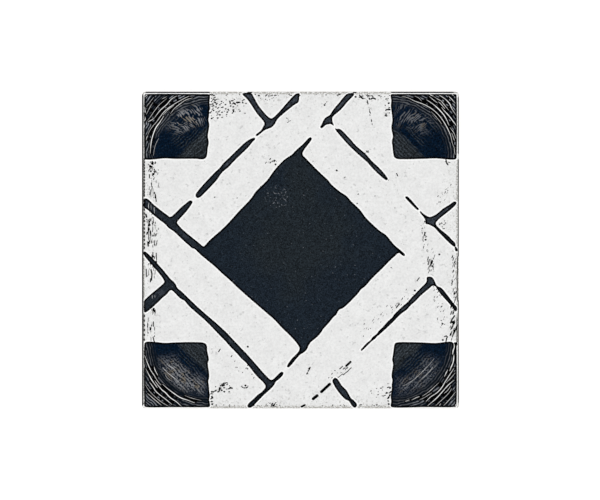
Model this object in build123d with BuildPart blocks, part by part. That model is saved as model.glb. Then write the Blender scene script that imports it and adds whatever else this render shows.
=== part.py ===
"""Pressed square floor tile: cushioned face edge, upright collar, drafted skirt and a keyed back.

Millimetres, +Z up. The origin is the middle of the back, on the plane of its ribs, so the tile
lies on Z = 0 with its face upwards and its four edges along X and Y.
"""

import os
from math import atan2, degrees

from build123d import *

# Outline of the pressed body
tile_side = 200.0
tile_thickness = 9.0

# Face edge: the arris that the die rounds, and the corner rounding left on the flat face inside it
arris_radius = 1.4
face_corner_radius = 0.6

# Skirt: the band below the upright collar, drawn in towards the back so that the die lets go of it
skirt_height = 3.0
skirt_setback = 0.7

# Back edge: the narrow bevel between the skirt and the back
bevel_height = 0.4
bevel_setback = 0.4

# Keyed back: a flat rim, and inside it a grid of shallow cells parted by ribs that hold the adhesive
rim_width = 8.0
rib_width = 2.5
cells_per_side = 10
cell_depth = 0.8
cell_draft = 30.0
cell_corner_chamfer = 1.5

# What follows from those sizes
corner_radius = face_corner_radius + arris_radius
collar_height = tile_thickness - skirt_height - bevel_height
skirt_draft = degrees(atan2(skirt_setback, skirt_height))
bevel_draft = degrees(atan2(bevel_setback, bevel_height))
back_side = tile_side - 2 * (skirt_setback + bevel_setback)
keyed_side = back_side - 2 * rim_width
cell_pitch = (keyed_side + rib_width) / cells_per_side
cell_side = cell_pitch - rib_width

with BuildPart() as tile:
    # Body: one outline at the foot of the collar, pulled straight up, then drafted down in two bands
    with BuildSketch(Plane.XY.offset(bevel_height + skirt_height)) as outline:
        RectangleRounded(tile_side, tile_side, corner_radius)
    extrude(outline.sketch, amount=collar_height)
    extrude(outline.sketch, amount=-skirt_height, taper=skirt_draft)
    skirt_foot = tile.faces().sort_by(Axis.Z)[0]
    extrude(skirt_foot, amount=bevel_height, taper=bevel_draft)

    # Arris: the cushioned edge all round the face
    face = tile.faces().sort_by(Axis.Z)[-1]
    fillet(face.edges(), radius=arris_radius)

    # Back: the grid of drafted cells, which leaves the rim and the ribs as one flat face
    with BuildSketch(Plane.XY) as cell_mouths:
        with GridLocations(cell_pitch, cell_pitch, cells_per_side, cells_per_side):
            Rectangle(cell_side, cell_side)
        chamfer(cell_mouths.vertices(), length=cell_corner_chamfer)
    extrude(cell_mouths.sketch, amount=cell_depth, taper=cell_draft, mode=Mode.SUBTRACT)

tile.part.label = "tile"

os.makedirs("parts", exist_ok=True)
export_step(tile.part, "parts/tile.step")
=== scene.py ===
"""Looks of the patterned floor tile: a worn black print on pale glaze, over a pressed biscuit body.

The pattern is drawn in the plan of the tile's face, in millimetres from its centre, +Y up. Its outlines
become edges of the face mesh, and each vertex keeps its distance from the nearest outline, so that the
glaze material can colour the print, a painted shade along the print's rim and a painted highlight around
it.
"""

from math import cos, pi, radians, sin, sqrt, tan

import bmesh
import bpy
import numpy as np
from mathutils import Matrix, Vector
from mathutils.geometry import delaunay_2d_cdt


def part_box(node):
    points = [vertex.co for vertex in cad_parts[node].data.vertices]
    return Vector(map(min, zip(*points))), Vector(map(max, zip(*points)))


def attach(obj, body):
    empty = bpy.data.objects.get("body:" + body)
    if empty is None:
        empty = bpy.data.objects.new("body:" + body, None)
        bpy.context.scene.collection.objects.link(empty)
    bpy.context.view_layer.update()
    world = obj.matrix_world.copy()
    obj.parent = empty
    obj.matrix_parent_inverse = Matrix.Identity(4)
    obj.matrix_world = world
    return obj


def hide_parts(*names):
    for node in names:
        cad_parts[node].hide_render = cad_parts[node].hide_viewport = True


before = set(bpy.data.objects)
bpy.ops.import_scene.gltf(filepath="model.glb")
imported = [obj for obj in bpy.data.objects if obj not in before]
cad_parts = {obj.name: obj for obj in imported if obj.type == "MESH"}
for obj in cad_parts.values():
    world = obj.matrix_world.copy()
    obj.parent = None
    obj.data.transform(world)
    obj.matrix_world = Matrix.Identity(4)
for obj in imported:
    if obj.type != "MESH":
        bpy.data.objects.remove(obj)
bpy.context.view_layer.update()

MM = 0.001
rng = np.random.default_rng(12)

# Sizes of the pressed body, as in the part's source
node_low, node_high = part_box("tile")
side = (node_high.x - node_low.x) / MM
thickness = node_high.z / MM
arris_radius = 1.4
arris_turns = np.radians(range(0, 91, 15))
corner_radius = 2.0
corner_turns = np.radians([-45, -30, -15, 0])
skirt_height = 3.0
skirt_setback = 0.7
bevel_height = 0.4
bevel_setback = 0.4
rim_width = 8.0
rib_width = 2.5
cells_per_side = 10
cell_depth = 0.8
cell_draft = radians(30)
cell_chamfer = 1.5

# The print lies a hair below the glaze around it
print_depth = 0.06
print_slope = 0.25

# Spacing of the face mesh, and how far from an outline its distance is still worked out
outline_step = 0.6
ring_step = 1.0
fill_step = 2.6
reach = 3.0
inner_rows = (0.4, 0.95, 1.5)
outer_rows = (0.45, 1.0)
dab_step = 1.2
dab_rows = (0.25, 0.7)
brush_row = 0.45
row_slack = 0.12
edge_gap = 0.2
fill_margin, fill_jitter = 0.8, 0.3
fill_gap, fill_brush_gap = 1.5, 0.7

# Slack for welding points and for telling the face from the sides, and how many points are measured at once
weld_gap, back_weld_gap = 1e-4, 1e-5
height_slack = 0.01
batch = 3000

# Corner squares: straight at the tile's rim, wavy along their two inner edges
square_top_left = [
    (-97.9, 97.8), (-96.8, 98), (-60, 98), (-58, 97.9), (-57.5, 97.2), (-57.8, 93), (-57.5, 90.3),
    (-58, 87), (-58, 85), (-58.4, 82), (-57.9, 79), (-58.8, 71.5), (-58.2, 68), (-58.8, 64.5), (-59.6, 59),
    (-60.5, 58), (-62, 57.6), (-66, 57.9), (-80, 57.9), (-85, 58.2), (-97.8, 57.6), (-98.2, 58.7),
    (-98.2, 61), (-98.2, 94),
]
square_top_right = [
    (57.3, 97.9), (57.5, 94), (57.3, 91), (58.2, 81.5), (57.7, 79), (57.6, 76.5), (58.5, 71.5), (57.9, 69),
    (58.2, 65.5), (59.2, 59), (60, 58.1), (61.5, 57.6), (80, 57.8), (85, 58), (97.3, 57.3), (98.2, 57.9),
    (98.4, 60), (98.4, 96.5), (98.2, 98), (96.5, 98.2), (80, 98.2), (60, 98.2),
]
square_bottom_left = [
    (-98.4, -61), (-98.2, -58.9), (-97.3, -58.2), (-94, -58), (-85, -58.8), (-80, -58.5), (-61.3, -58.6),
    (-60, -59.3), (-59.2, -60.5), (-59, -63.5), (-58, -69), (-58.6, -71.5), (-57.8, -78), (-57.8, -80.5),
    (-58.3, -82.7), (-57.9, -86), (-57.6, -90), (-57.3, -91.5), (-57.8, -94.5), (-57.3, -97),
    (-57.5, -98.8), (-60, -99), (-80, -99), (-96.5, -99), (-98.1, -98.6), (-98.4, -94),
]
square_bottom_right = [
    (59.6, -59.3), (60.4, -58.6), (75, -58.4), (85, -58.8), (95, -58), (96, -58.5), (96.5, -59.8),
    (97, -58.4), (98.2, -58.5), (98.4, -61), (98.4, -96.5), (98.1, -98.6), (96, -99), (80, -99),
    (57.6, -99), (57.1, -98.5), (57.4, -95.5), (57.1, -92.5), (57.8, -87), (57.7, -85), (58.1, -82.2),
    (57.7, -80), (57.7, -78), (58.5, -73), (58.4, -71), (58, -69.3), (58.6, -65.5),
]

# Diamond with the bands' tails that run on from its corners, the west band's end among them
diamond = [
    (6.5, 71), (7, 70.3), (2.2, 63.3), (1.1, 61), (1.5, 59.6), (4, 57), (10.7, 50.1), (17, 44.2),
    (20, 40.7), (25.5, 36.2), (29, 33.9), (31.5, 31), (37.5, 25.1), (41.2, 20.2), (50.3, 11.7),
    (53.5, 9.6), (59, 3.2), (65.6, -2.7), (65.8, -3.4), (65.1, -3.7), (62.4, -1.8), (61.3, -2),
    (59.5, -3.7), (57, -5.9), (51, -12), (46, -16.8), (40.3, -23.1), (38.3, -24.6), (36, -27.5),
    (27, -36.3), (24.6, -37.4), (23.4, -38.8), (22.7, -40.4), (20.5, -42.5), (17.5, -46.2), (14.5, -49.5),
    (12.5, -52.4), (10.3, -54.8), (7, -57.5), (5.4, -59.4), (3.6, -63), (1.5, -64.8), (-0.3, -65.9),
    (-7.7, -73.9), (-8.3, -73.5), (-5.8, -69.3), (-1.4, -64.6), (-0.5, -62.8), (-0.6, -61.2), (-4, -56.5),
    (-12, -48.5), (-16, -44.2), (-26, -35.5), (-38, -25), (-44, -19.3), (-50, -14), (-54, -10.2),
    (-63, -2.7), (-66.8, 0.9), (-68.3, 1.3), (-70, 2.9), (-72.5, 5), (-80, 12), (-83, 14), (-85, 16.2),
    (-91, 20.9), (-97, 26), (-98.6, 27), (-98.7, 30), (-98.6, 32.2), (-97, 32.3), (-92, 27.9), (-84, 21.8),
    (-82.2, 20.7), (-74, 27.8), (-69.2, 31.1), (-68.3, 30.5), (-71.5, 25.2), (-78.1, 17.2), (-77.3, 16),
    (-75, 13.3), (-64, 4.2), (-62, 2.5), (-61, 2.1), (-57.5, 5.7), (-47, 15.2), (-39, 24), (-31, 32.5),
    (-28, 36.8), (-24, 40.7), (-20, 45), (-16.5, 50), (-10, 56.9), (-5, 60.3), (-3.5, 62), (2, 67),
    (5.6, 70.7),
]

# Brushed bands, each a run of strokes and crossings
north_west_crossing = [
    (-36.3, 98.5), (-31, 98.5), (-29.8, 96.6), (-27.6, 92.6), (-25.8, 89.8), (-18.8, 82.8), (-16.8, 83.5),
    (-2.4, 98.5), (-0.8, 98.5), (-1, 96.5), (-1.3, 94), (-1.9, 93.1), (-4, 91.8), (-12, 85.3),
    (-14.2, 83.3), (-16.8, 79.2), (-18.2, 77.7), (-22.5, 75.9), (-27.2, 72.3), (-28, 72.1), (-27.8, 72.7),
    (-24.5, 75.5), (-23.4, 77.6), (-22.5, 79.2), (-22.6, 80.5), (-27.2, 86.3), (-33.2, 95.1),
]
north_west_stroke = [
    (-28.8, 70.7), (-28.7, 69.9), (-30.3, 68.2), (-32.8, 65.1), (-42.3, 55.8), (-45.3, 52.5), (-48.4, 50),
    (-50.6, 47.5), (-52.8, 44.3), (-59.8, 36.8), (-63.4, 33.4), (-65, 32.9), (-66, 33.8), (-65.9, 35.3),
    (-54.8, 48.1), (-51.3, 51.4), (-48.3, 55), (-45.3, 57.8), (-34.3, 68.2), (-30.8, 70.3),
]
north_east_crossing = [
    (29.8, 98.5), (33.7, 98.4), (29.5, 93.5), (25.5, 88.8), (20.2, 84), (19.9, 82.8), (20.1, 81),
    (20.8, 78.6), (20, 79.2), (19, 79.6), (16, 79), (13.3, 76.9), (12.6, 77.4), (13.5, 79.2), (15.7, 83.2),
    (18.5, 85), (20, 87.2), (22, 90), (24, 92.2),
]
north_east_stroke = [
    (22, 76.5), (23, 76.2), (24.6, 76.3), (31, 70.2), (35, 65.7), (41.3, 60.2), (45, 56), (48.5, 52.7),
    (53, 47.9), (54, 46.4), (54.9, 45.2), (54.9, 44.6), (54.3, 44.2), (47, 50.2), (42.5, 55.2), (36, 61),
    (30, 66.8),
]
east_dash = [
    (66.3, 33.4), (67.1, 33.7), (73.5, 27), (74.5, 25.8), (74.2, 25.4), (68, 31.2),
]
east_crossing = [
    (75.6, 24.3), (77.3, 22.8), (81.3, 20.6), (83, 21), (86, 22.5), (90.5, 26.2), (94, 28.3), (96.5, 30.1),
    (97.6, 30.4), (98.3, 29.9), (97.9, 28.9), (95, 26), (86.3, 18.8), (85.2, 17), (85.6, 15.5), (88, 13),
    (93.3, 8.6), (95.3, 6.4), (97.3, 4.4), (97.7, 3), (97.1, 2.4), (87.5, 11.3), (84.7, 14.3),
    (80.7, 16.4), (79.3, 16.7), (79, 18.6), (78.5, 20.1), (75.6, 23.9),
]
east_end = [(97.6, 2.1), (98.4, 1.6), (98.9, 0), (98.7, -0.8), (98, -0.6), (97.6, 0.8)]
south_west_band = [
    (-98.7, -1.1), (-97.3, -1.6), (-88, -11.3), (-82, -18.4), (-79.8, -20.4), (-78.7, -22), (-77.7, -24),
    (-75, -26.4), (-64, -36.9), (-48.5, -50.5), (-37.5, -62), (-34, -65.6), (-19.5, -81.6), (-18.3, -82.1),
    (-17, -81.5), (-12.8, -77.5), (-11.6, -76.9), (-10.9, -77.4), (-11.1, -78.6), (-13, -80.8),
    (-15.7, -83.1), (-16.6, -84.8), (-18, -86.6), (-23, -91.2), (-28.5, -96.8), (-30.8, -99),
    (-32.6, -99.4), (-33.3, -98.4), (-32.6, -96.9), (-30, -94.5), (-27, -91.6), (-24, -89.3), (-21.9, -86),
    (-28, -78.8), (-34, -71.3), (-37.2, -68.3), (-40.5, -64.6), (-44.5, -60.5), (-47.5, -57.1),
    (-51, -53.6), (-59, -45.3), (-70, -35.5), (-73.3, -31.8), (-75.5, -30.6), (-81.5, -25.2),
    (-82.8, -25.8), (-84.3, -27.7), (-87.3, -30.2), (-90.3, -33.2), (-97.3, -39), (-98.4, -39.2),
    (-98.6, -38), (-98.6, -33), (-98.3, -31.8), (-87.1, -21.9), (-85.8, -20.4), (-86.5, -18.2),
    (-97.5, -4.7), (-98.6, -3.1),
]
south_east_band = [
    (79.8, -17.2), (83, -17.3), (86.3, -22.8), (88.7, -23.9), (96.5, -33.7), (98.8, -36.6), (98.2, -38.6),
    (95.5, -35.5), (87.5, -26.4), (85.5, -23.2), (84.3, -22.4), (83, -22.6), (81.5, -23.9), (75.5, -29),
    (72.5, -32.2), (69.5, -34.8), (67, -37.6), (64.5, -39.4), (61.5, -42), (58.9, -44.8), (50, -53.1),
    (48.5, -54.3), (47, -56), (45.5, -57), (38.3, -63.6), (38.1, -63), (39.3, -61.6), (42, -58.7),
    (44.5, -56.6), (45.4, -55.2), (48.5, -52.6), (49.3, -51.3), (52, -48.7), (55, -45.3), (58.2, -42.3),
    (59, -41), (64, -36), (67.5, -33), (70.5, -29.7), (76.5, -23.5), (79.2, -20.7), (79.8, -19),
]
south_stroke = [
    (21.8, -80.7), (20.6, -81.7), (20.3, -82.8), (23, -88), (27.3, -93.2), (29, -94.5), (30.5, -95.2),
    (33.3, -99), (34.5, -99.4), (35.6, -97.7), (33.3, -94.7), (32, -93.7), (29, -88.6), (26, -85.5),
    (23.3, -81.5),
]

# Each outline with how far its ink spreads past the points
outlines = [
    (0.3, square_top_left), (0.12, square_top_right), (0.1, square_bottom_left),
    (0.05, square_bottom_right), (0.12, diamond), (0.2, north_west_crossing), (0.02, north_west_stroke),
    (0.08, north_east_crossing), (0.1, north_east_stroke), (0.17, east_dash), (0.18, east_crossing),
    (0.1, east_end), (0.08, south_west_band), (0.03, south_east_band), (0.03, south_stroke),
]

# Dark strokes, each a half-width and the points it runs through: broken bands, then dark lines along the
# tile's outline, unbroken down the left side and broken on the right
broken_band = [
    (0.6, (31.6, -70.6), (28.9, -73.1)), (0.82, (18.5, -84.6), (13.2, -89.5)),
    (0.85, (10.6, -91.8), (8, -93.9)), (0.55, (2.7, -97.8), (0.8, -98.8)),
]
rim_lines = [
    (0.65, (-99.77, -97.5), (-99.77, 97.5)), (0.34, (-97.3, 99.5), (-57.6, 99.5)),
    (0.34, (57.4, 99.5), (96.4, 99.5)), (0.32, (-33.2, 99.4), (-30.8, 99.4)),
    (0.32, (33.4, 99.4), (35, 99.4)), (0.34, (99.75, 57), (99.75, 27)),
    (0.34, (99.75, -0.8), (99.75, -3.5)), (0.34, (99.75, -32), (99.75, -39)),
    (0.2, (99.62, 27), (99.62, -0.5)),
    (0.22, (99.3, -4), (99, -8), (99.2, -13), (98.8, -18), (99.1, -22), (98.8, -27), (99.2, -32)),
    (0.2, (99.62, -39), (99.62, -60)), (0.15, (98.7, -43), (98.7, -60)),
]


def dashes(x, low, high, step, length, half_width):
    """A broken upright line of short dashes."""
    return [(half_width, (x, y), (x, y + length)) for y in np.arange(low, high, step)]


rim_dashes = dashes(99.7, 61, 96, 2.4, 1.8, 0.33) + dashes(99.7, -96, -61, 2.4, 1.9, 0.34)
for low, high, step in ((34, 57, 1.9), (1, 26, 2.4), (-57, -41, 3.0)):
    rim_dashes += dashes(-98.4, low, high, step, 0.9, 0.26)

# Light brush lines through the dark squares, each with how bold it is and the points it runs through
brush_width = 0.6
brush_blunt, brush_swell = 0.3, 0.6
waver_knots, waver_range = 9, (0.7, 1.15)
brush_top_left = [
    (0.42, (-78, 97.2), (-80.3, 96), (-82, 94.6), (-84.3, 91.9), (-88.5, 88.1), (-92, 83.6)),
    (0.33, (-92.2, 83.3), (-94, 82), (-96.3, 80.8)),
    (0.36, (-70.2, 97.1), (-74, 95.3), (-85, 88.2), (-91.3, 80.2), (-92.8, 78.6), (-95.3, 75),
     (-96.2, 72.8)),
    (0.3, (-96.3, 72.3), (-97, 70.8), (-97.4, 69.3)),
    (0.27, (-68, 96), (-72.5, 94.6), (-75, 92.9), (-79.5, 89.3), (-82, 86)),
    (0.22, (-79.8, 91.3), (-84, 88), (-86.7, 85)),
    (0.5, (-86.2, 84.5), (-88.8, 80.5), (-91.3, 77), (-94, 69), (-94.8, 61)),
    (0.16, (-89.5, 70.5), (-91.2, 67), (-92.2, 63.5), (-92.8, 59.5)),
    (0.22, (-84.5, 96.8), (-86, 96), (-87.5, 95.2)),
    (0.22, (-84.5, 95.5), (-89, 91.6), (-91.5, 88.6), (-95, 83.5), (-96.5, 81.6)),
    (0.2, (-92.4, 96.5), (-94.4, 94.1), (-97.1, 90.5)), (0.2, (-93, 93.2), (-95, 90), (-97.3, 85.5)),
    (0.35, (-96.6, 97.9), (-97.7, 97.1), (-98.6, 96.4)),
    (0.4, (-98.3, 90.5), (-98, 88), (-97.9, 86.4)), (0.4, (-98.1, 84), (-97.9, 82.8), (-98.6, 81.2)),
    (0.35, (-98.3, 79.8), (-98.7, 77)),
]
brush_top_right = [
    (0.4, (64, 97), (68, 96), (72, 94), (78.5, 91.6), (84, 88.2), (89, 83), (94.3, 73.4), (95.9, 67.3),
     (96.8, 64.8)),
    (0.46, (79.5, 94.8), (84.7, 91.2), (90.8, 84.7), (93.8, 78.6)),
    (0.4, (81.3, 98.3), (82.5, 97.7), (84, 97)), (0.28, (81.3, 97), (83.2, 95.3), (86.6, 92.7)),
    (0.28, (84.3, 96.7), (87, 95), (88.8, 94), (90.5, 91.9), (93.6, 88.2)),
    (0.32, (87, 93.6), (88.6, 92.2), (91.1, 89.1)),
    (0.4, (87.4, 97.9), (91.6, 95), (94.4, 91.9), (95.2, 89.8), (98.3, 84.8)),
    (0.3, (93.4, 97.2), (95, 95.6), (97.7, 92.5)),
    (0.43, (89, 90), (90.4, 88.2), (93.5, 84.9), (98.4, 78.4)),
    (0.27, (94.3, 77.3), (96, 75.2), (97.2, 73), (98, 70.3)),
    (0.27, (95.4, 73.8), (96.4, 71.3), (97.2, 68.6)), (0.18, (82.5, 87.3), (86.3, 83.2), (89.2, 79.3)),
    (0.2, (72, 97.2), (74.5, 96), (76.5, 94)), (0.4, (95.6, 98.4), (96.6, 97.2)),
    (0.3, (97, 65), (97.2, 62.5), (97.5, 60)),
]
brush_bottom_left = [
    (0.4, (-98.4, -66.4), (-94.6, -75.6), (-92.2, -79.2), (-90.2, -82.6), (-88, -85.2)),
    (0.43, (-97.6, -74.8), (-93.9, -81.8), (-90.3, -86.9)),
    (0.36, (-92.3, -73.6), (-91.8, -75.6), (-90, -79.1)),
    (0.44, (-91.9, -82.4), (-89.8, -85.4), (-87.1, -88.5), (-85.4, -89.8), (-82.2, -93.1), (-78.2, -95.8),
     (-75, -98.8)),
    (0.46, (-86.9, -84.7), (-83.1, -88), (-75.8, -93.1), (-71, -94.8), (-66.7, -96.5)),
    (0.4, (-95.3, -83.3), (-92.6, -87), (-91.2, -89.2), (-84, -95), (-81, -97.6)),
    (0.22, (-97.9, -84.8), (-95.2, -89.1), (-87.6, -96), (-82.6, -98.8)),
    (0.27, (-96.5, -90.4), (-92.5, -94), (-87.7, -98)),
    (0.22, (-87, -74.1), (-83.5, -77.7), (-79.5, -80.8), (-76, -84.1)),
    (0.18, (-84.4, -72.2), (-80.5, -74.5), (-78.6, -76.2)),
    (0.18, (-73, -91.7), (-70, -93), (-62.5, -95)), (0.16, (-85.3, -78), (-84.4, -80.3), (-81, -83)),
    (0.3, (-98.6, -72), (-98.5, -74.5)),
]
brush_bottom_right = [
    (0.55, (96.9, -66), (96.3, -70.8), (94.9, -74.3), (94.2, -76.2)),
    (0.6, (96.7, -58.6), (97.1, -61), (96.4, -63.2), (96, -66)), (0.35, (96.3, -64.7), (95.7, -65.5)),
    (0.34, (93, -75.4), (92.2, -77), (90.8, -79.9)),
    (0.43, (97, -74.4), (91.4, -83), (89.2, -86.7), (86.2, -90), (82.3, -92.6), (79.2, -95.5)),
    (0.28, (97.6, -77.5), (94.7, -81), (92, -83.7)),
    (0.46, (97, -82), (93.4, -85.1), (86.3, -93), (80.2, -98.3)),
    (0.23, (95, -85.5), (92.4, -89), (90.6, -90.5)), (0.26, (95.6, -87.4), (93, -90.9), (85.2, -98.3)),
    (0.26, (98, -89.3), (94.5, -93.8), (90.2, -98.4)), (0.3, (88.6, -96.9), (87.6, -98.3)),
    (0.23, (87.5, -83.5), (80.8, -89.6), (76.9, -92.2)), (0.2, (83, -90), (78, -93.2), (75, -94.7)),
    (0.3, (75.2, -92.4), (73, -93.2), (70, -94.8)), (0.28, (68.8, -94.6), (66, -95.6)),
    (0.16, (84.3, -68.5), (82, -71.5), (72.8, -80.7), (66.5, -85), (64.5, -85.8)),
    (0.4, (98.3, -96.8), (97.8, -98.8)), (0.16, (83.5, -73.7), (81.5, -76.6), (76.3, -81.5)),
]
brush_bands = [
    (0.28, (-95.6, 29.8), (-95.9, 28), (-95.7, 26)), (0.15, (-94.3, 28.5), (-94.2, 25.5)),
    (0.22, (-92.3, 27.3), (-92.3, 25), (-92, 23)), (0.18, (-93.6, -28.4), (-93.4, -30.6)),
    (0.15, (-91.9, -28.5), (-91.8, -30.2)),
]
brush_lines = brush_top_left + brush_top_right + brush_bottom_left + brush_bottom_right + brush_bands

# Dabs of stray ink that show one by one: half-width and the points each runs through
long_dabs = [
    (0.38, (-42.3, 92.8), (-41, 92)), (0.38, (-40.3, 93.1), (-38.3, 93.2)),
    (0.3, (-54.5, 93.4), (-53.3, 92.7)), (0.38, (37.3, 97.6), (38.4, 96.2), (39.5, 95.5)),
    (0.35, (44.6, 95.3), (45.8, 96), (47.3, 95.2)), (0.38, (55, 88.6), (56.5, 88.6)),
    (0.22, (60.6, 48.3), (61.4, 46.7)), (0.2, (-91.4, 34.8), (-91, 30.5)),
    (0.25, (-95.3, 47.5), (-95.3, 45.5)), (0.36, (-97.5, 22.5), (-97, 20.8)),
    (0.36, (-95.5, 18), (-95.4, 15.3)), (0.36, (-96.3, 5), (-96, 2.5)),
    (0.22, (-93.1, -1.5), (-93, -4.3)), (0.2, (-91, -2), (-90.8, -6)),
    (0.22, (-97.3, -12), (-97.2, -16.8)), (0.34, (-94.3, -12.5), (-93.7, -15), (-94, -19)),
    (0.25, (-93, -55), (-92.2, -58)), (0.25, (91.8, 57), (92.2, 55.3), (93, 53.7)),
    (0.25, (78.4, 11), (78.4, 9.3)), (0.25, (81.3, -6), (80.5, -9.2)),
    (0.28, (83.3, -6.7), (82.6, -7.7), (81.8, -10.2)), (0.22, (75, -17.5), (73.5, -19.5)),
    (0.36, (97.2, -41.5), (95.5, -44), (94.7, -46)), (0.22, (97.3, -44.5), (95.5, -49.7)),
    (0.36, (98.6, -48.2), (97.3, -51.5), (96.3, -53.2)),
    (0.25, (90.8, -54.6), (92, -54.1), (92.8, -54.9)), (0.3, (92.3, -55.5), (91.8, -57.6)),
    (0.25, (60.5, -36.4), (62.3, -34)), (0.22, (26.5, -73.4), (24.8, -75)),
    (0.18, (32, -74.3), (30, -76.3), (27, -78.8)), (0.12, (26.5, -78.3), (23.7, -80.5)),
    (0.22, (-51.7, -64.2), (-50.6, -62.5)), (0.35, (-44.5, -86.7), (-43, -87.2)),
    (0.35, (-56.2, -89.5), (-54.8, -89.5)),
]
black_dots = [
    (-26.3, 97.4), (-42.4, 88.3), (34.7, 96.6), (55.6, 92.6), (-15.8, 54), (22.8, 50.2), (-94.5, 49.7),
    (78.9, 6.5), (87.5, -2.8), (72.1, -25.6), (89.5, -46.5), (89.7, -56.8), (54.4, -90.1), (55.5, -93.2),
    (55.6, -97.2), (-33.3, -61), (-51, -87.3), (-48.3, -85.2), (-55.8, -93.3), (-55.8, -97.3),
    (-34.8, -85.5), (-17, -98.2), (-92.3, -38.6),
]
dot_width, dot_length = 0.5, 0.2
dots = [(dot_width, (x, y), (x + dot_length, y)) for x, y in black_dots]
dark_strokes = broken_band + rim_lines + rim_dashes + long_dabs + dots

# Trails of specks in worn places: from, to, how far they stray, how many, their lean and their half-widths
level, steep, upright, streak = (0.4, 0.1), (0.2, -0.8), (0.15, 1.0), (0.1, 2.6)
leaning, slanted = (0.4, 0.6), (0.6, 1.7)
hair, fine, coarse = (0.02, 0.13), (0.08, 0.22), (0.14, 0.34)
speck_trails = [
    ((-53, 85), (-53, 96), 4, 46, level, coarse), ((-47, 88), (-38, 92), 4, 22, level, coarse),
    ((-54, 90), (-38, 92), 7, 24, level, fine), ((-24, 96), (-16, 96), 2, 14, level, fine),
    ((-20, 57), (-16, 55), 2, 11, leaning, fine), ((-9, 82), (-7, 82), 2, 6, level, fine),
    ((-93.5, 56), (-93, 48), 1.8, 15, upright, coarse), ((-93, 56), (-92, 38), 3.5, 26, upright, hair),
    ((-94, 43), (-93, 33), 2.2, 16, streak, hair), ((-95, 20), (-93, 4), 2.7, 30, streak, hair),
    ((-96, 21), (-94, 2), 2, 12, upright, coarse), ((-94, 22), (-92, 2), 3.5, 24, upright, hair),
    ((-95, -20), (-92, -4), 2.6, 28, streak, hair), ((-93.5, -37), (-92, -40), 1, 8, streak, hair),
    ((-94, -55), (-94, -44), 3, 20, streak, hair), ((-54, -88), (-46, -86.5), 3, 40, level, coarse),
    ((-56, -97), (-56, -91), 0.8, 8, level, coarse), ((-37, -86), (-32, -87), 1, 8, level, coarse),
    ((-22, -95), (-16, -97.5), 1.5, 14, level, fine), ((-50, -64), (-29, -81), 3, 12, leaning, fine),
    ((35, 97), (48, 96), 1.2, 14, level, coarse), ((49, 96), (56, 96), 1.5, 10, level, fine),
    ((55, 85), (55, 93), 1.7, 11, level, coarse), ((42, 94), (46, 77), 0.3, 18, steep, fine),
    ((15, 90), (16, 93), 1, 4, level, fine), ((41, 61), (43, 63), 1, 7, steep, fine),
    ((91, 55), (94, 54), 1.5, 5, level, fine), ((84, 29), (96, 41), 3, 18, leaning, hair),
    ((88, 18), (92, 15), 2.5, 12, level, fine), ((77, 17), (79, 0), 1.8, 26, upright, hair),
    ((83, -1), (81, -14), 2.5, 26, slanted, hair), ((96.5, -3), (97, -33), 1.4, 30, slanted, hair),
    ((85, -25), (90, -46), 3, 28, leaning, hair), ((96, -34), (96, -56), 1.6, 28, slanted, fine),
    ((41, -50), (72, -24), 2.5, 34, leaning, hair), ((46, -91), (54, -89), 3, 14, level, fine),
    ((56, -96), (56, -84), 1, 14, level, coarse), ((16, -82), (32, -72), 2, 12, leaning, fine),
    ((4, -78), (6, -74), 0.5, 6, leaning, coarse), ((-55, 97.8), (57, 97.8), 0.5, 40, level, fine),
    ((-55, -98), (57, -98), 0.5, 36, level, fine), ((0, 0), (0, 0), 60, 30, level, fine),
]
speck_lengths = (0.2, 1.4)

# Angles of the points round a stroke's ends
end_turns = (0.8, 0, -0.8)


def smooth_run(knots, step, closed):
    """Points about a step apart on a smooth curve through the knots (centripetal Catmull-Rom)."""
    knots = np.array(knots, float)
    if closed:
        knots = np.concatenate([knots[-1:], knots, knots[:2]])
    else:
        knots = np.concatenate([2 * knots[:1] - knots[1:2], knots, 2 * knots[-1:] - knots[-2:-1]])
    runs = []
    for a, b, c, d in zip(knots, knots[1:], knots[2:], knots[3:]):
        first, middle, last = (max(np.linalg.norm(q - p), 1e-6) ** 0.5 for p, q in ((a, b), (b, c), (c, d)))
        count = max(1, round(np.linalg.norm(c - b) / step))
        t = (np.arange(count) / count * middle)[:, None]
        ab = b + (b - a) * t / first
        bc = b + (c - b) * t / middle
        cd = c + (d - c) * (t - middle) / last
        abc = ab + (bc - ab) * (t + first) / (first + middle)
        bcd = bc + (cd - bc) * t / (middle + last)
        runs.append(abc + (bcd - abc) * t / middle)
    if not closed:
        runs.append(knots[-2:-1])
    return np.concatenate(runs)


def normals_of(loop):
    """Unit normals of a run of points, to the left of the way it goes."""
    along = np.roll(loop, -1, 0) - np.roll(loop, 1, 0)
    along /= np.maximum(np.linalg.norm(along, axis=1), 1e-9)[:, None]
    return np.stack([-along[:, 1], along[:, 0]], 1)


def turned_left(loop):
    """The loop, run so that its inside lies to the left."""
    x, y = loop.T
    area = np.sum(x * np.roll(y, -1) - np.roll(x, -1) * y)
    return loop if area > 0 else loop[::-1]


def spread_loop(spread, knots):
    """A smooth closed outline through the knots, its inside to the left, grown by a spread."""
    loop = turned_left(smooth_run(knots, outline_step, closed=True))
    return loop - normals_of(loop) * spread


def tapered(peak, *knots):
    """Centre points and half-widths of a brush line that swells from its ends and wavers a little."""
    line = smooth_run(knots, outline_step, closed=False)
    along = np.linspace(0, 1, len(line))
    waver = np.interp(along, np.linspace(0, 1, waver_knots), rng.uniform(*waver_range, waver_knots))
    swell = brush_blunt + (1 - brush_blunt) * np.sin(pi * along) ** brush_swell
    return line, brush_width * peak * waver * swell


def even_stroke(half_width, *knots):
    """Centre points and half-widths of a stroke with round ends."""
    line = np.array(knots, float)
    return line, np.full(len(line), half_width)


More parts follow.
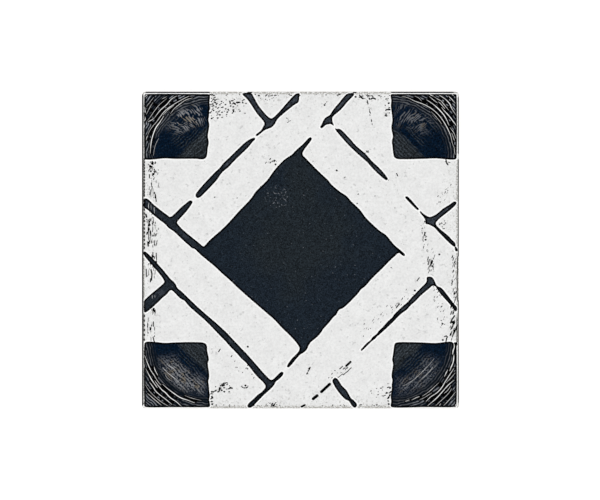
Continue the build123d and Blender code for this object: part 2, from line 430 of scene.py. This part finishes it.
def stroke_edge(line, widths):
    """The closed outline round a stroke, with three points round each end."""
    along = np.gradient(line, axis=0)
    along /= np.linalg.norm(along, axis=1)[:, None]
    across = np.stack([-along[:, 1], along[:, 0]], 1)
    sides = across * widths[:, None]
    head = [line[-1] + widths[-1] * (along[-1] * cos(a) + across[-1] * sin(a)) for a in end_turns]
    tail = [line[0] - widths[0] * (along[0] * cos(a) + across[0] * sin(a)) for a in end_turns]
    return np.concatenate([line + sides, head, (line - sides)[::-1], tail])


def held_in(points):
    """The points, moved in to the first ring inside the tile's outline where they lie beyond it."""
    limit = side / 2 - arris_radius * (1 - cos(arris_turns[1]))
    return np.clip(points, -limit, limit)


def near_box(points, run):
    """Indices of the points within reach of a run's box, a few thousand at a time."""
    low, high = run.min(0) - reach, run.max(0) + reach
    hits = np.flatnonzero(((points > low) & (points < high)).all(1))
    return np.array_split(hits, len(hits) // batch + 1)


def gap_to(points, start, along):
    """Distance from each point to each segment, and how far along the segment its nearest spot is."""
    away = points[:, None] - start
    t = np.clip((away * along).sum(2) / np.maximum((along * along).sum(1), 1e-12), 0, 1)
    away -= t[..., None] * along
    return np.sqrt((away * away).sum(2)), t


def loop_field(points, loop):
    """Distance of each point from a closed outline, positive inside it."""
    field = np.full(len(points), -reach)
    along = np.roll(loop, -1, 0) - loop
    rise = np.where(np.abs(along[:, 1]) < 1e-9, 1e-9, along[:, 1])
    for part in near_box(points, loop):
        spot = points[part]
        gap = gap_to(spot, loop, along)[0].min(1)
        above = loop[:, 1] > spot[:, 1, None]
        passes = above != np.roll(above, -1, 1)
        crossing = loop[:, 0] + (spot[:, 1, None] - loop[:, 1]) * along[:, 0] / rise
        inside = (passes & (spot[:, 0, None] < crossing)).sum(1) % 2 == 1
        field[part] = np.where(inside, gap, -gap)
    return field


def stroke_field(points, line, widths):
    """How far each point lies inside a stroke of changing half-width."""
    field = np.full(len(points), -reach)
    along = np.diff(line, axis=0)
    for part in near_box(points, line):
        gap, t = gap_to(points[part], line[:-1], along)
        field[part] = (widths[:-1] + t * np.diff(widths) - gap).max(1)
    return field


class Print:
    """The whole printed pattern: its outlines, its dark strokes and the light lines brushed through it."""

    def __init__(self):
        self.loops = [spread_loop(*outline) for outline in outlines]
        self.dark = [even_stroke(*stroke) for stroke in dark_strokes + self.specks()]
        self.light = [tapered(*stroke) for stroke in brush_lines]

    def specks(self):
        """Fine specks, scattered in the places where the print is worn."""
        found = []
        for start, end, stray, count, lean, widths in speck_trails:
            for share in rng.uniform(0, 1, count):
                spot = np.array(start) + share * np.subtract(end, start) + rng.uniform(-stray, stray, 2)
                run = np.array(lean) * rng.uniform(*speck_lengths)
                found.append((rng.uniform(*widths), spot - run / 2, spot + run / 2))
        return found

    def shapes(self, points):
        """Distance of each point from the nearest outline, positive inside, without strokes or specks."""
        field = np.full(len(points), -reach)
        for loop in self.loops:
            field = np.maximum(field, loop_field(points, loop))
        return field

    def field(self, points):
        """Distance of each point from the nearest edge of the print, positive in the dark."""
        ink = self.shapes(points)
        for stroke in self.dark:
            ink = np.maximum(ink, stroke_field(points, *stroke))
        return np.clip(ink, -reach, reach)

    def brushed(self, points):
        """How far each point lies inside a light brush line."""
        field = np.full(len(points), -reach)
        for stroke in self.light:
            field = np.maximum(field, stroke_field(points, *stroke))
        return field

    def mesh_runs(self):
        """Closed runs of points for the mesh to follow, and the rows of loose points beside them."""
        runs = list(self.loops)
        rows = []
        for loop in self.loops:
            inward = normals_of(loop)
            rows += [(loop + inward * offset, offset) for offset in inner_rows]
            rows += [(loop - inward * offset, -offset) for offset in outer_rows]
        for line, widths in self.dark:
            run = smooth_run(line, dab_step, closed=False)
            widths = np.full(len(run), widths[0])
            runs.append(held_in(stroke_edge(run, widths)))
            rows.append((run, widths))
            rows += [(stroke_edge(run, widths + offset), -offset) for offset in dab_rows]
        offsets = np.concatenate([np.broadcast_to(offset, len(points)) for points, offset in rows])
        points = np.concatenate([points for points, _ in rows])
        rows = [points[np.abs(self.field(points) - offsets) < row_slack]]
        for line, widths in self.light:
            runs.append(stroke_edge(line, widths))
            rows += [line, stroke_edge(line, widths + brush_row)]
        points = np.concatenate(rows)
        return runs, points[edge_distance(points) > arris_radius + edge_gap]


def quarter_ring(inset):
    """A quarter of the tile's rounded outline, drawn in by an inset: the +X side and two half corners."""
    centre = side / 2 - corner_radius
    radius = corner_radius - inset
    lower = [(centre + radius * cos(a), -centre + radius * sin(a)) for a in corner_turns]
    upper = [(centre + radius * cos(a), centre + radius * sin(a)) for a in -corner_turns[::-1]]
    steps = round(2 * centre / ring_step)
    straight = [(centre + radius, y) for y in np.linspace(-centre, centre, steps + 1)[1:-1]]
    return np.array(lower + straight + upper)


def turned(points, quarter):
    """The points turned by some quarters about the tile's centre."""
    x, y = points.T
    return np.stack([(x, -y, -x, y)[quarter], (y, x, -y, -x)[quarter]], 1)


def full_ring(inset):
    """The tile's whole rounded outline, drawn in by an inset."""
    quarter = quarter_ring(inset)[:-1]
    return np.concatenate([turned(quarter, q) for q in range(4)])


def edge_distance(points):
    """Distance of each point in the plan from the tile's rounded outline."""
    beyond = np.abs(points) - (side / 2 - corner_radius)
    outside = np.linalg.norm(np.maximum(beyond, 0), axis=1)
    return corner_radius - outside - np.minimum(beyond.max(1), 0)


def face_height(ink, edge):
    """Height of the face: flat, rounded off at the arris, and a hair lower where it is printed."""
    drop = np.clip(1 - edge / arris_radius, 0, 1)
    arris = arris_radius * (1 - np.sqrt(1 - drop ** 2))
    sunk = np.clip(ink / print_slope + 0.5, 0, 1) * print_depth * np.clip(edge, 0, 1)
    return thickness - arris - sunk


def fill_points(pattern):
    """A jittered grid over the plain stretches between the outlines."""
    half = side / 2 - arris_radius - fill_margin
    steps = np.arange(-half, half, fill_step)
    grid = np.stack(np.meshgrid(steps, steps), -1).reshape(-1, 2)
    grid = grid + rng.uniform(-fill_jitter, fill_jitter, grid.shape) * fill_step
    plain = np.abs(pattern.field(grid)) > fill_gap
    return grid[plain & (pattern.brushed(grid) < -fill_brush_gap)]


def face_plan(pattern):
    """Vertices and triangles of the face in the plan, with every outline among its edges."""
    rings = [full_ring(arris_radius * (1 - cos(a))) for a in arris_turns]
    runs, rows = pattern.mesh_runs()
    runs = rings + runs
    points = np.concatenate(runs + [rows, fill_points(pattern)])
    edges = []
    start = 0
    for run in runs:
        count = len(run)
        edges += [(start + i, start + (i + 1) % count) for i in range(count)]
        start += count
    outer = list(range(len(rings[0])))
    found = delaunay_2d_cdt([Vector(p) for p in points], edges, [outer], 1, weld_gap)
    return np.array([tuple(v) for v in found[0]]), found[2]


class Shell:
    """Mesh under construction: points, faces, each face's material and each corner's place on the map."""

    def __init__(self):
        self.points, self.faces, self.slots, self.uvs = [], [], [], []

    def add(self, points, faces, slot, chart):
        """Take in some points with their faces."""
        start = sum(map(len, self.points))
        self.points.append(points)
        self.faces += [[start + i for i in face] for face in faces]
        self.slots += [slot] * len(faces)
        self.uvs += [uv for face in faces for uv in chart[list(face)]]

    def mesh(self, name):
        """The finished mesh, welded along its seams."""
        mesh = bpy.data.meshes.new(name)
        mesh.from_pydata((np.concatenate(self.points) * MM).tolist(), [], self.faces)
        mesh.polygons.foreach_set("material_index", self.slots)
        mesh.polygons.foreach_set("use_smooth", [slot == 0 for slot in self.slots])
        mesh.uv_layers.new(name="OFBake").data.foreach_set("uv", np.array(self.uvs).ravel())
        shell = bmesh.new()
        shell.from_mesh(mesh)
        bmesh.ops.remove_doubles(shell, verts=shell.verts, dist=weld_gap * MM)
        bmesh.ops.recalc_face_normals(shell, faces=shell.faces)
        shell.to_mesh(mesh)
        shell.free()
        return mesh


# Places on the map: the face takes most of it, the four sides lie above it and the back beside it
map_margin, face_share, back_share, side_share = 0.008, 0.79, 0.18, 0.04


def plan_chart(points, corner, share):
    """Places on the map, for points seen in the plan."""
    return np.array(corner) + (points[:, :2] / side + 0.5) * share


def add_face(shell, pattern):
    """The printed face with its arris."""
    plan, triangles = face_plan(pattern)
    height = face_height(pattern.field(plan), edge_distance(plan))
    points = np.column_stack([plan, height])
    shell.add(points, triangles, 0, plan_chart(points, (map_margin, map_margin), face_share))


def add_sides(shell):
    """Collar, skirt and bevel, from the foot of the arris to the back, one side at a time."""
    bands = [
        (0, thickness - arris_radius),
        (0, skirt_height + bevel_height),
        (skirt_setback, bevel_height),
        (skirt_setback + bevel_setback, 0),
    ]
    for quarter in range(4):
        rows = [quarter_ring(inset) for inset, _ in bands]
        count = len(rows[0])
        heights = np.repeat([z for _, z in bands], count)
        points = np.column_stack([np.concatenate([turned(row, quarter) for row in rows]), heights])
        along = np.concatenate([row[:, 1] for row in rows]) / side + 0.5
        low = face_share + 2 * map_margin + quarter * (side_share + map_margin)
        chart = np.column_stack([map_margin + along * face_share, low + heights / thickness * side_share])
        faces = [
            (k * count + i, (k + 1) * count + i, (k + 1) * count + i + 1, k * count + i + 1)
            for k in range(len(bands) - 1)
            for i in range(count - 1)
        ]
        shell.add(points, faces, 1, chart)


def cell_outline(inset):
    """Outline of one back cell round the origin, drawn in by an inset."""
    keyed_side = side - 2 * (skirt_setback + bevel_setback + rim_width)
    cell_side = (keyed_side + rib_width) / cells_per_side - rib_width
    half = cell_side / 2 - inset
    flat = half - cell_chamfer + (2 - sqrt(2)) * inset
    quarter = np.array([(half, -flat), (half, flat)])
    return np.concatenate([turned(quarter, q) for q in range(4)]), cell_side + rib_width


def add_back(shell):
    """Flat rim and ribs with the grid of drafted cells sunk between them."""
    mouth, pitch = cell_outline(0)
    floor, _ = cell_outline(cell_depth * tan(cell_draft))
    places = (np.arange(cells_per_side) - (cells_per_side - 1) / 2) * pitch
    ring = full_ring(skirt_setback + bevel_setback)
    loops = [ring] + [mouth + (x, y) for x in places for y in places]
    starts = np.cumsum([0] + [len(loop) for loop in loops])
    indices = [list(range(a, b)) for a, b in zip(starts, starts[1:])]
    found = delaunay_2d_cdt([Vector(p) for p in np.concatenate(loops)], [], indices, 1, back_weld_gap)
    corner = (face_share + 2 * map_margin, map_margin)
    points = np.array([(*p, 0.0) for p in found[0]])
    ribs = [face for face, owners in zip(found[2], found[5]) if list(owners) == [0]]
    shell.add(points, ribs, 1, plan_chart(points, corner, back_share))
    count = len(mouth)
    walls = [(i, (i + 1) % count, count + (i + 1) % count, count + i) for i in range(count)]
    cell_faces = walls + [tuple(range(count, 2 * count))]
    for x in places:
        for y in places:
            top = np.column_stack([mouth + (x, y), np.zeros(count)])
            bottom = np.column_stack([floor + (x, y), np.full(count, cell_depth)])
            cell = np.concatenate([top, bottom])
            shell.add(cell, cell_faces, 1, plan_chart(cell, corner, back_share))


def set_values(mesh, name, values):
    """Keep a number at each vertex of the mesh."""
    mesh.attributes.new(name, "FLOAT", "POINT").data.foreach_set("value", values)


def make_tile():
    """The whole tile, with the print's distances kept at its vertices."""
    pattern = Print()
    shell = Shell()
    add_face(shell, pattern)
    add_sides(shell)
    add_back(shell)
    mesh = shell.mesh("patterned_tile")
    places = np.empty(3 * len(mesh.vertices))
    mesh.vertices.foreach_get("co", places)
    places = places.reshape(-1, 3) / MM
    on_face = places[:, 2] > thickness - arris_radius - height_slack
    for name, measure in (("ink", pattern.field), ("shape", pattern.shapes), ("brush", pattern.brushed)):
        values = np.full(len(places), -reach)
        values[on_face] = measure(places[on_face, :2])
        set_values(mesh, name, values)
    set_values(mesh, "edge", np.where(on_face, edge_distance(places[:, :2]), 0))
    return placed("patterned_tile", mesh)


class Value:
    """An output of a node tree, with calls that add the nodes to work on it."""

    def __init__(self, nodes, socket):
        self.nodes = nodes
        self.socket = socket

    def math(self, operation, *others):
        """The result of a sum on this number and others."""
        return self.nodes.add("Math", enumerate((self, *others)), operation=operation)

    def __add__(self, other):
        return self.math("ADD", other)

    def __sub__(self, other):
        return self.math("SUBTRACT", other)

    def __mul__(self, other):
        return self.math("MULTIPLY", other)

    def between(self, low, high, start=0.0, end=1.0):
        """The number's way from low to high, eased, as a number from start to end."""
        values = {"Value": self, "From Min": low, "From Max": high, "To Min": start, "To Max": end}
        return self.nodes.add("MapRange", values, interpolation_type="SMOOTHSTEP")

    def scaled(self, scale):
        """This vector times a number."""
        return self.nodes.add("VectorMath", {0: self, "Scale": scale}, operation="SCALE")

    def split(self):
        """The three numbers of this vector."""
        return [self.nodes.add("SeparateXYZ", {0: self}, output=axis) for axis in range(3)]

    def noise(self, per_mm, detail=2.0, roughness=0.5):
        """Noise from 0 to 1 at this place, with so many lumps to the millimetre."""
        values = {"Vector": self, "Scale": per_mm, "Detail": detail, "Roughness": roughness}
        return self.nodes.add("TexNoise", values, output="Fac")


class Nodes:
    """Short calls for building a node tree."""

    def __init__(self, tree):
        self.tree = tree
        tree.nodes.clear()

    def add(self, kind, values=(), output=0, **settings):
        """A new node with its inputs linked or set. Gives one of its outputs, if it has any."""
        node = self.tree.nodes.new("ShaderNode" + kind)
        for name, value in settings.items():
            setattr(node, name, value)
        for socket, value in dict(values).items():
            if isinstance(value, Value):
                self.tree.links.new(value.socket, node.inputs[socket])
            else:
                node.inputs[socket].default_value = value
        return Value(self, node.outputs[output]) if node.outputs else None

    def blend(self, kind, share, a, b):
        """Colour a with a share of colour b laid over it."""
        values = {0: share}
        for socket, colour in ((6, a), (7, b)):
            values[socket] = colour if isinstance(colour, Value) else (*colour, 1)
        return self.add("Mix", values, output=2, data_type="RGBA", blend_type=kind)

    def surface(self, colour, roughness, shine, relief, strength, depth):
        """The finished surface of a material, with a relief whose depth is in millimetres."""
        bump = self.add("Bump", {"Strength": strength, "Distance": depth * MM, "Height": relief})
        values = {"Base Color": colour, "Roughness": roughness, "Specular IOR Level": shine, "Normal": bump}
        self.add("OutputMaterial", {"Surface": self.add("BsdfPrincipled", values)})


def mix(share, a, b):
    """Colour a with a share of colour b in it."""
    return share.nodes.blend("MIX", share, a, b)


def brighten(colour, amount):
    """The colour with each channel times an amount."""
    triple = amount.nodes.add("CombineXYZ", {0: amount, 1: amount, 2: amount})
    return amount.nodes.blend("MULTIPLY", 1.0, colour, triple)


def placed(name, data):
    """A new object in the scene."""
    thing = bpy.data.objects.new(name, data)
    bpy.context.scene.collection.objects.link(thing)
    return thing


def new_material(name):
    """A material and the calls that build its nodes."""
    material = bpy.data.materials.new(name)
    material.use_nodes = True
    return material, Nodes(material.node_tree)


def place_in_mm(nodes):
    """The place on the tile, in millimetres."""
    return nodes.add("TexCoord", output="Object").scaled(1 / MM)


# Glaze and ink colours, linear
glaze_white = (0.835, 0.837, 0.832)
# Bright glaze: the colour of the light brush lines, and a painted highlight along the print's outlines
bright_glaze_and_highlight = (0.97, 0.97, 0.965)
rim_grey = (0.42, 0.41, 0.38)
# Black ink: the colour of thin strokes and dots, and a painted shade along the edges of the larger print
# and beside the light brush lines
black_ink_and_shade = (0.0, 0.0002, 0.0004)
ink_charcoal = (0.015, 0.0204, 0.0254)
ink_blue = (0.0113, 0.0174, 0.0258)
ink_band = (0.0155, 0.021, 0.0285)
ink_streak = (0.05, 0.058, 0.072)
ink_pale = (0.34, 0.36, 0.4)
square_inner = (0.0275, 0.034, 0.0405)
square_blue = (0.001, 0.0066, 0.0178)
square_worn = (0.215, 0.222, 0.236)
square_warm = (0.2, 0.175, 0.14)
outer_black = (0.002, 0.005, 0.0095)
glaze_shine = 0.025

# Colours of the fired body under the glaze
body_dark, body_light = (0.5, 0.46, 0.4), (0.6, 0.565, 0.51)
fleck_brown = (0.2, 0.17, 0.14)
rib_wash = (0.8, 0.79, 0.76)
biscuit_shine = 0.2

# The squares and the diamond are told from the bands by their place in the plan
square_corner = 58.0
diamond_reach = 67.0
worn_place = (-14.0, 34.0, thickness)


def white_colour(mm, shape, edge):
    """Pale glaze: cloudy, faintly pitted, with a painted highlight along the print and specks towards the
    rim.
    """
    cloud = mm.noise(0.12, 3).between(0.3, 0.7, 0.97, 1.025)
    grain = mm.noise(0.7, 3, 0.75).between(0.3, 0.7, 0.93, 1.06)
    pits = mm.noise(0.5, 2).between(0.62, 0.72, 1.0, 0.78)
    white = brighten(glaze_white, cloud * grain * pits)
    speckle = mm.noise(0.75, 2).between(0.56, 0.7)
    margin = edge.between(14.0, 2.0) * 0.6
    white = mix(speckle * margin, white, rim_grey)
    # Painted highlight: brighter glaze in a band along the outlines of the printed shapes
    white = mix(shape.between(-1.2, -0.8), white, bright_glaze_and_highlight)
    dust = mm.noise(1.0, 2).between(0.36, 0.6)
    near_rim = edge.between(2.2, 1.3) * shape.between(-0.5, -1.0)
    return mix(dust * near_rim, white, rim_grey)


class CornerPlace:
    """Where a point lies in its corner square, measured from the square's inner corner."""

    def __init__(self, mm):
        x, y, _ = mm.split()
        across = x.math("ABSOLUTE") - square_corner
        up = y.math("ABSOLUTE") - square_corner
        self.corner = x.math("SIGN") * 40.0 + y.math("SIGN") * 90.0
        self.radius = (up * up + across * across).math("SQRT")
        self.angle = up.math("ARCTAN2", across)
        self.outward = across + up
        self.sideways = across - up
        self.inside = across.between(-2, 0) * up.between(-2, 0)
        self.sway = mm.noise(0.2, 2) - 0.5
        self.upper = y.between(-40, 40, 0.15, 1.0)
        self.first_angle = y.between(-40, 40, 0.2, 0.52)
        self.wear = x.between(-40, 40, 0.92, 0.46)
        self.arc_wear = y.between(-40, 40, 0.6, 1.0)

    def lines(self, across, along, pitch, stretch, sway, breaks, low=-0.2):
        """Brush hairs a pitch apart that sway sideways and break along their length: from 0 to 1."""
        spot = across.nodes.add("CombineXYZ", {0: across, 1: along * stretch, 2: self.corner})
        life = (spot.noise(0.7 / pitch, 2) - 0.5) * breaks
        swaying = self.sway * sway + across
        wave = (swaying * (2 * pi / pitch)).math("SINE")
        return (wave + life).between(low, 1.2)


def square_colour(mm, brush):
    """Brushed corner square: grey inside, then blue-black, a worn rippled patch and pale outer arcs."""
    place = CornerPlace(mm)
    arc = place.angle * 30.0
    slow = (mm.noise(0.14, 3) - 0.5) * 12.0
    hatch = place.lines(place.outward, place.sideways, 2.6, 0.06, 5.0, 5.0)
    arcs = place.lines(place.radius, arc, 1.6, 0.04, 2.5, 3.0, 0.1)
    ripples = place.lines(place.radius * 0.35 + arc, place.radius, 1.7, 0.6, 6.0, 8.0)
    crumbs = mm.noise(1.1, 2).between(0.38, 0.62)
    crossed = hatch * 0.55 + crumbs * 0.55
    marks = (ripples - crossed) * place.upper + crossed
    mottle = mm.noise(1.1, 3, 0.8).between(0.35, 0.65, 0.1, 1.9)
    inner = brighten(square_inner, mottle * hatch.between(0.0, 1.0, 0.6, 1.35))
    deep = mix(hatch.between(0.2, 1.0, 0.0, 0.8), square_blue, square_inner)
    flank = (place.sideways + slow).math("ABSOLUTE")
    speckle = mm.noise(0.9, 3, 0.75).between(0.54, 0.68, 0.0, 0.5)
    deep = mix(flank.between(8, 14), deep, mix(speckle, square_blue, square_inner))
    deep = brighten(deep, mottle)
    colour = mix((slow * 0.4 + place.outward).between(18.5, 22.5), inner, deep)
    wandering = place.radius + slow
    middle = place.angle.between(place.first_angle, place.first_angle + 0.45)
    middle = middle * place.angle.between(1.6, 1.3)
    ring = wandering.between(19, 27) * wandering.between(38, 31)
    worn = middle * ring * place.wear * marks.between(0.1, 0.9, 0.0, 1.15)
    tint = mix(mm.noise(0.2, 2).between(0.52, 0.64), square_worn, square_warm)
    colour = mix(worn, colour, tint)
    soft = mm.noise(0.5, 2).between(0.35, 0.65, 0.55, 1.25)
    paler = place.arc_wear * place.radius.between(36, 44, 0.3, 0.95)
    outer = mix(arcs, outer_black, brighten(ink_pale, soft * paler))
    # Painted shade: black ink beside the light brush lines
    outer = mix(brush.between(-0.85, -0.45), outer, black_ink_and_shade)
    colour = mix(place.radius.between(33, 37), colour, outer)
    # Light brush lines through the square, in glaze painted as bright as a highlight
    return mix(brush.between(-0.12, 0.2), colour, bright_glaze_and_highlight), place.inside


def ink_colour(mm, ink, brush):
    """Dry black ink: mottled, painted shade in black along its rim, bluer to the diamond's edges and paler
    inside the bands.
    """
    x, y, _ = mm.split()
    reach_out = x.math("ABSOLUTE") + y.math("ABSOLUTE")
    cloud = (mm.noise(0.06, 3) - 0.5) * 80.0
    bluer = (y * -0.4 + reach_out + cloud).between(20, 60)
    band = reach_out.between(diamond_reach - 4, diamond_reach)
    fill = mix(bluer, ink_charcoal, ink_blue)
    streak_place = mm.nodes.add("VectorMath", {0: mm.scaled(0.16), 1: ink * 1.1}, operation="ADD")
    streaks = streak_place.noise(1.0, 3, 0.6).between(0.45, 0.7)
    upper_right = (x + y).between(-60, 100, -0.3, 0.35)
    fill = mix(band, fill, mix(streaks + upper_right, ink_band, ink_streak))
    fill = brighten(fill, mm.noise(1.5, 4, 0.9).between(0.35, 0.65, 0.0, 2.0))
    worn_spot = mm.nodes.add("VectorMath", {0: mm, 1: worn_place}, output="Value", operation="DISTANCE")
    fleck = mm.noise(0.8, 2) + worn_spot.between(13, 3, 0.0, 0.11)
    fill = mix(fleck.between(0.7, 0.76, 0.0, 0.38), fill, ink_pale)
    # Light brush lines in glaze painted as bright as a highlight
    fill = mix(brush.between(-0.12, 0.2), fill, bright_glaze_and_highlight)
    square, inside = square_colour(mm, brush)
    fill = mix(inside, fill, square)
    # Painted shade: the ink turns black within about a millimetre of its edge, except inside the light
    # brush lines
    rim = (band * 0.1 + ink).between(1.45, 0.95) * brush.between(0.05, -0.05)
    return mix(rim, fill, black_ink_and_shade)


def printed_glaze():
    """The face: pale glaze with ink printed on it, ragged where they meet."""
    material, nodes = new_material("printed_glaze")
    mm = place_in_mm(nodes)
    kept = "ink", "shape", "brush", "edge"
    ink, shape, brush, edge = (nodes.add("Attribute", output="Fac", attribute_name=name) for name in kept)
    ragged = mm.noise(1.3, 3) * 0.2 + ink
    white = white_colour(mm, shape, edge)
    colour = mix(ragged.between(-0.05, 0.05), white, ink_colour(mm, ragged, brush))
    polish = mm.noise(0.5, 3).between(0.3, 0.7, 0.44, 0.58)
    grain = mm.noise(1.6, 3, 0.6)
    nodes.surface(colour, polish, glaze_shine, grain, 0.12, 0.05)
    return material


def biscuit():
    """Fired unglazed body: warm grey, grainy, with glaze lapping over the collar and a wash on the ribs."""
    material, nodes = new_material("biscuit")
    mm = place_in_mm(nodes)
    height = mm.split()[2]
    grain = mm.noise(1.4, 4, 0.7)
    body = mix(mm.noise(0.08, 3).between(0.3, 0.7), body_dark, body_light)
    body = brighten(body, grain.between(0.2, 0.8, 0.86, 1.12))
    fleck = mm.noise(0.9, 2).between(0.68, 0.74)
    body = mix(fleck * 0.55, body, fleck_brown)
    wash = height.between(0.12, 0.02) * mm.noise(0.22, 4, 0.65).between(0.4, 0.56)
    body = mix(wash * 0.75, body, rib_wash)
    lap = mm.noise(0.25, 3) * 3.0 + height
    body = mix(lap.between(8.0, 8.5), body, glaze_white)
    rough = grain.between(0.2, 0.8, 0.72, 0.88)
    nodes.surface(body, rough, biscuit_shine, grain, 0.35, 0.1)
    return material


# Floor, in metres: it glows a little to the camera, and far out it glows plain white
plain_white = (1, 1, 1, 1)
floor_half, floor_grey = 30.0, 0.6
glow_near, glow_far, near_glow = 0.8, 3.0, 0.6


def make_floor():
    """A white floor that keeps a faint shadow: part of its white is plain to the camera."""
    material, nodes = new_material("studio_floor")
    rays = "Is Camera Ray", "Is Glossy Ray", "Is Transmission Ray"
    camera, glossy, through = (nodes.add("LightPath", output=ray) for ray in rays)
    seen = camera.math("MAXIMUM", glossy).math("MAXIMUM", through)
    place = nodes.add("TexCoord", output="Object")
    away = nodes.add("VectorMath", {0: place}, output="Value", operation="LENGTH")
    strength = seen * away.between(glow_near, glow_far, near_glow, 1.0)
    glow = nodes.add("Emission", {"Color": plain_white, "Strength": strength})
    paper = nodes.add("BsdfDiffuse", {"Color": (floor_grey, floor_grey, floor_grey, 1)})
    nodes.add("OutputMaterial", {"Surface": nodes.add("AddShader", {0: glow, 1: paper})})
    mesh = bpy.data.meshes.new("studio_floor")
    corners = [(x * floor_half, y * floor_half, 0) for x, y in ((-1, -1), (1, -1), (1, 1), (-1, 1))]
    mesh.from_pydata(corners, [], [(0, 1, 2, 3)])
    mesh.materials.append(material)
    floor = placed("studio_floor", mesh)


# Studio light: four large soft lamps round the tile and a sky that is dimmer overhead
lamp_power, lamp_distance, lamp_height, lamp_size = 7.3, 1.3, 0.9, 0.9
sky_low, sky_high = 1.0, 0.1


def make_light():
    """Four soft lamps and a pale sky."""
    for turn in range(4):
        angle = radians(45 + 90 * turn)
        lamp = bpy.data.lights.new(f"softbox_{turn}", "AREA")
        lamp.size = lamp_size
        lamp.energy = lamp_power
        holder = placed(f"softbox_{turn}", lamp)
        holder.location = (lamp_distance * cos(angle), lamp_distance * sin(angle), lamp_height)
        holder.rotation_euler = (-Vector(holder.location)).to_track_quat("-Z", "Y").to_euler()
    world = bpy.data.worlds.new("studio")
    world.use_nodes = True
    nodes = Nodes(world.node_tree)
    up = nodes.add("TexCoord", output="Generated").split()[2]
    strength = up.between(0.0, 1.0, sky_low, sky_high)
    sky = nodes.add("Background", {"Color": plain_white, "Strength": strength})
    nodes.add("OutputWorld", {"Surface": sky})
    bpy.context.scene.world = world


# In the photo's pixels: its width, the tile's width and how far the tile is off the middle
photo_width, tile_width, tile_shift = 600, 317.0, 0.45
frame_width = photo_width / tile_width * side * MM
sensor_width, lens = 36.0, 200.0
camera_height = thickness * MM + frame_width * lens / sensor_width
camera_shift = -tile_shift / tile_width * side * MM


def make_camera():
    """A camera that looks straight down on the face."""
    data = bpy.data.cameras.new("camera")
    data.sensor_width = sensor_width
    data.lens = lens
    camera = placed("camera", data)
    camera.location = (camera_shift, 0, camera_height)
    bpy.context.scene.camera = camera


bpy.context.scene.view_settings.view_transform = "Standard"
make_camera()
make_floor()
make_light()
tile = make_tile()
tile.data.materials.append(printed_glaze())
tile.data.materials.append(biscuit())
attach(tile, "root")
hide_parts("tile")
